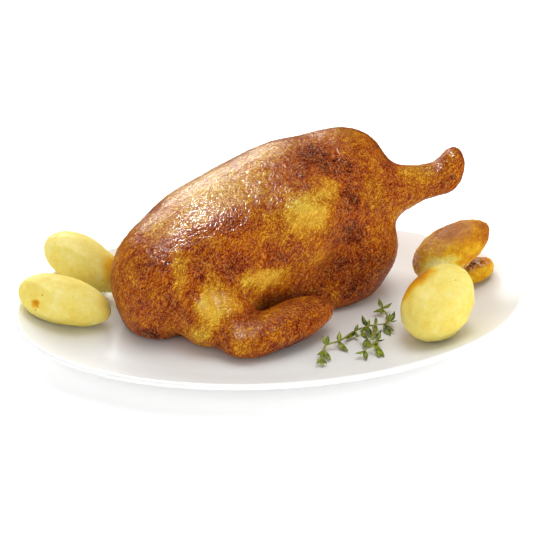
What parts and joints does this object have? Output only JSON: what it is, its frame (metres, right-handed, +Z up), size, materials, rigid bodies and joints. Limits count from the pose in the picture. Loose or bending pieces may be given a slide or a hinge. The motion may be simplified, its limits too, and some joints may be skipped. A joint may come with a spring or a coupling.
{
  "type": "roast half chicken on plate",
  "caption": "Roast half chicken with browned skin, drumstick and folded wing, lying on an oval white platter with peeled potatoes and a sprig of thyme.",
  "frame": {"origin": "on the table under the middle of the platter, at the centre of the bounding box's bottom face", "axes": "+X along the platter's long axis towards the end of the drumstick, +Y away from the wing side, +Z up"},
  "size_m": [0.3, 0.2, 0.1049],
  "materials": {
    "porcelain": "glossy white glaze",
    "roast_skin": "browned poultry skin, wet with fat",
    "boiled_potato": "smooth boiled potato, slightly moist",
    "browned_potato": "fried potato with a browned skin",
    "thyme": "dull green leaf"
  },
  "bodies": {
    "root": {"plate": "porcelain", "half_chicken": "roast_skin", "potato_left_front": "boiled_potato", "potato_left_back": "boiled_potato", "potato_right_front": "boiled_potato", "potato_right_back": "browned_potato", "potato_right_under": "browned_potato", "thyme_sprig": "thyme"}
  },
  "joints": []
}
